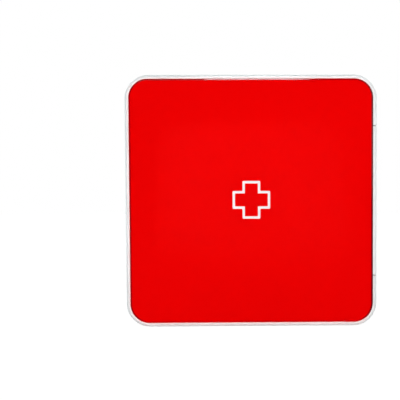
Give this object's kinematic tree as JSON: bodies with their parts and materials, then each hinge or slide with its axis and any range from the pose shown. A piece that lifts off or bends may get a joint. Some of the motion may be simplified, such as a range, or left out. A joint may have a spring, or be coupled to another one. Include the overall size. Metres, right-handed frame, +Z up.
{
  "type": "medicine cabinet",
  "caption": "Square wall medicine cabinet with rounded corners, a hinged glossy red door with an outlined cross, and shelves with raised front lips behind it.",
  "frame": {"origin": "centre of the bottom of the whole object's box, with the door closed", "axes": "+Z up, the door faces -Y, +X to the right seen from the front, +Y into the wall"},
  "size_m": [0.38, 0.12, 0.38],
  "materials": {
    "case_white": "glossy moulded white ABS",
    "back_white": "glossy white sheet",
    "shelf_white": "glossy white sheet",
    "door_red": "polished red acrylic",
    "lip_red": "polished translucent red acrylic",
    "cover_red": "glossy moulded red plastic",
    "cross_white": "white inlay",
    "hinge_steel": "nickel-plated steel",
    "zinc_screws": "zinc-plated steel",
    "catch_white": "satin moulded white plastic",
    "magnet_ferrite": "sintered ferrite",
    "bonding_pad": "clear bonding tape"
  },
  "bodies": {
    "cabinet": {"cabinet_shell": "case_white", "back_panel": "back_white", "back_screws": "zinc_screws", "shelf_bottom": "shelf_white", "shelf_middle": "shelf_white", "shelf_top": "shelf_white", "lip_bottom": "lip_red", "lip_middle": "lip_red", "lip_top": "lip_red", "cover_top": "cover_red", "cover_bottom": "cover_red", "hinge_pin_top": "hinge_steel", "hinge_pin_bottom": "hinge_steel", "catch_housing": "catch_white", "catch_magnet": "magnet_ferrite", "catch_poles": "hinge_steel", "catch_screws": "zinc_screws"},
    "door": {"door_panel": "door_red", "cross_outline": "cross_white", "hinge_block_top": "cover_red", "hinge_block_bottom": "cover_red", "hinge_arm_top": "hinge_steel", "hinge_arm_bottom": "hinge_steel", "hinge_pads": "bonding_pad", "strike_plate": "hinge_steel", "strike_pad": "bonding_pad"}
  },
  "joints": [
    {"name": "door_hinge", "type": "hinge", "parent": "cabinet", "child": "door", "pos_m": [0.1864, -0.05065, 0.19], "axis": [0, 0, 1], "range_deg": [0, 108]}
  ]
}
